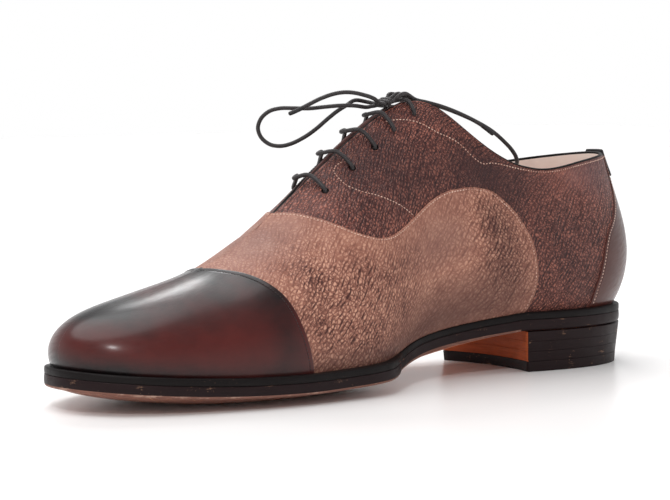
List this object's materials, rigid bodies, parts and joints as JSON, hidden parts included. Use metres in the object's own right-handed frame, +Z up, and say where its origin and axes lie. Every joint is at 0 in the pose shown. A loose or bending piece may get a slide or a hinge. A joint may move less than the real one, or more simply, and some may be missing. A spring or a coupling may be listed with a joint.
{
  "type": "cap toe oxford",
  "caption": "Low leather dress shoe for the right foot, closed lacing over a narrow tongue, smooth stitched toe cap, grained vamp and quarters, welted leather sole on a stacked heel.",
  "frame": {"origin": "on the floor under the middle of the heel, on the heel top piece's flat face", "axes": "+X towards the toe, +Y towards the inside of the foot, +Z up"},
  "size_m": [0.3081, 0.1046, 0.1255],
  "materials": {
    "grained_leather": "satin",
    "tongue_leather": "satin",
    "insole_leather": "matte",
    "edge_leather": "waxed",
    "sole_leather": "satin",
    "top_piece": "satin",
    "pull_tape": "matte",
    "lace": "waxed"
  },
  "bodies": {
    "root": {"upper": "grained_leather", "tongue": "tongue_leather", "insole": "insole_leather", "welt": "edge_leather", "outsole": "sole_leather", "heel_lift_1": "edge_leather", "heel_lift_2": "edge_leather", "heel_lift_3": "edge_leather", "heel_top_piece": "top_piece", "heel_tab": "pull_tape", "lace_bar_1": "lace", "lace_bar_2": "lace", "lace_bar_3": "lace", "lace_bar_4": "lace", "lace_bar_5": "lace", "lace_knot": "lace", "lace_loop_front": "lace", "lace_end_front": "lace", "lace_loop_rear": "lace", "lace_end_rear": "lace"}
  },
  "joints": []
}
